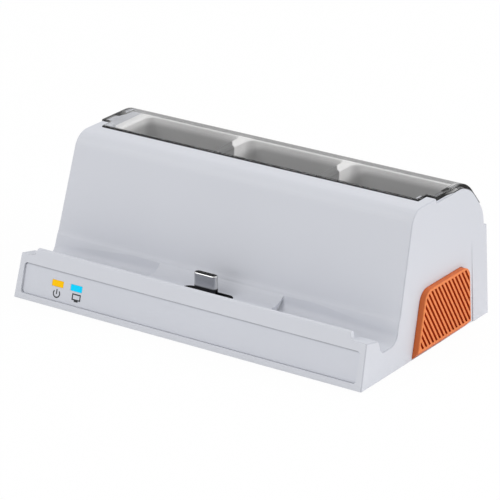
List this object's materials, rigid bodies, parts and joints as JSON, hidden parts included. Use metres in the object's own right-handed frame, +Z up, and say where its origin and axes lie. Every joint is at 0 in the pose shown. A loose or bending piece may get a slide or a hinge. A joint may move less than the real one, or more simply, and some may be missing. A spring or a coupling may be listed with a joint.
{
  "type": "handheld console dock",
  "caption": "Wedge-shaped charging dock for a handheld console: plug in a front trough, leaning backrest, card storage under a hinged smoked lid, ribbed side pads.",
  "frame": {"origin": "on the surface that the dock stands on, under the middle of its length and depth", "axes": "+X along the length to the right seen from the front, +Y from the front lip to the rear wall, +Z up"},
  "size_m": [0.1322, 0.073, 0.0469],
  "materials": {
    "white_plastic": "fine matt, moulded",
    "base_plastic": "fine matt, moulded",
    "smoked_clear": "polished, smoked clear",
    "fascia_grey": "fine matt",
    "amber_window": "translucent, glossy",
    "blue_window": "translucent, glossy",
    "orange_rubber": "matt, ribbed",
    "foot_rubber": "matt",
    "black_plastic": "fine matt",
    "plug_metal": "drawn, plated",
    "socket_metal": "folded, plated",
    "contact_gold": "plated",
    "steel": "turned",
    "spring_steel": "drawn wire",
    "board_green": "solder mask",
    "chip_black": "moulded",
    "capacitor_can": "drawn",
    "lamp_lens": "clear"
  },
  "bodies": {
    "dock": {"housing": "white_plastic", "card_tray": "white_plastic", "base_plate": "base_plastic", "rubber_feet": "foot_rubber", "base_screws": "steel", "tray_screws": "steel", "board_screws": "steel", "left_hinge_pin": "steel", "right_hinge_pin": "steel", "front_fascia": "fascia_grey", "power_light_window": "amber_window", "display_light_window": "blue_window", "light_board": "board_green", "indicator_lights": "lamp_lens", "left_side_pad": "orange_rubber", "right_side_pad": "orange_rubber", "carrier_pins": "steel", "main_board": "board_green", "board_chips": "chip_black", "board_capacitors": "capacitor_can", "power_socket_shell": "socket_metal", "power_socket_tongue": "black_plastic", "video_socket_shell": "socket_metal", "video_socket_tongue": "black_plastic", "data_socket_shell": "socket_metal", "data_socket_tongue": "black_plastic"},
    "lid": {"lid": "smoked_clear"},
    "plug_rocker": {"plug_carrier": "black_plastic", "plug_shell": "plug_metal", "plug_liner": "black_plastic", "plug_contacts": "contact_gold", "plug_board": "board_green", "carrier_spring": "spring_steel"}
  },
  "joints": [
    {"name": "lid_hinge", "type": "hinge", "parent": "dock", "child": "lid", "pos_m": [0, 0.03185, 0.0324], "axis": [-1, 0, 0], "range_deg": [0, 100]},
    {"name": "plug_rock", "type": "hinge", "parent": "dock", "child": "plug_rocker", "pos_m": [0, -0.0232, 0.0087], "axis": [-1, 0, 0], "range_deg": [0, 15], "stiffness_Nm_per_rad": 0.02}
  ]
}
